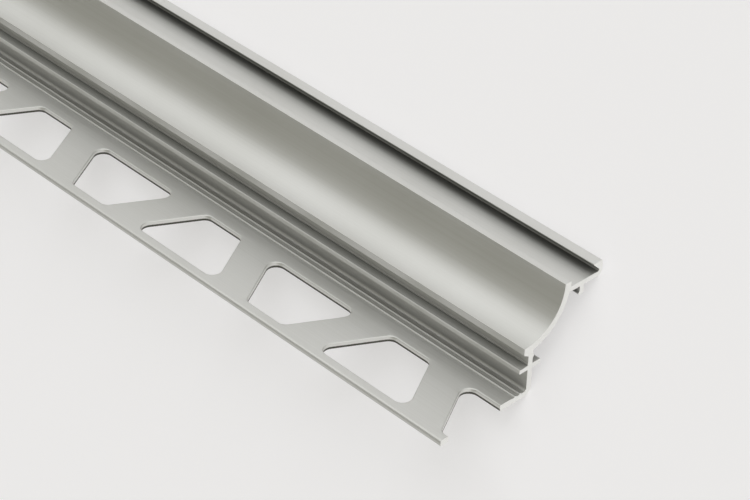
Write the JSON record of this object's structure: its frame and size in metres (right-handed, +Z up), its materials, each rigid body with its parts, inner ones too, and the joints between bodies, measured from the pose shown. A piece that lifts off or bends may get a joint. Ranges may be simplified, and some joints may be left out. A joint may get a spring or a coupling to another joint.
{
  "type": "cove tile profile",
  "caption": "Extruded aluminium cove profile for the corner of a tiled wall and floor, with a punched leg, web, quarter-round cove, flange and lipped upstand.",
  "frame": {"origin": "on the floor, under the middle of the length and of the width as a loose length lies", "axes": "+X along the length, towards the end that was cut through a hole; +Z up; +Y towards the wall side, leaning down: the section is turned about X so that it lies on the web's root and the flange's edge"},
  "size_m": [2.5, 0.0444, 0.0174],
  "materials": {
    "anodised_aluminium": "satin natural anodised"
  },
  "bodies": {
    "root": {"cove_profile": "anodised_aluminium"}
  },
  "joints": []
}
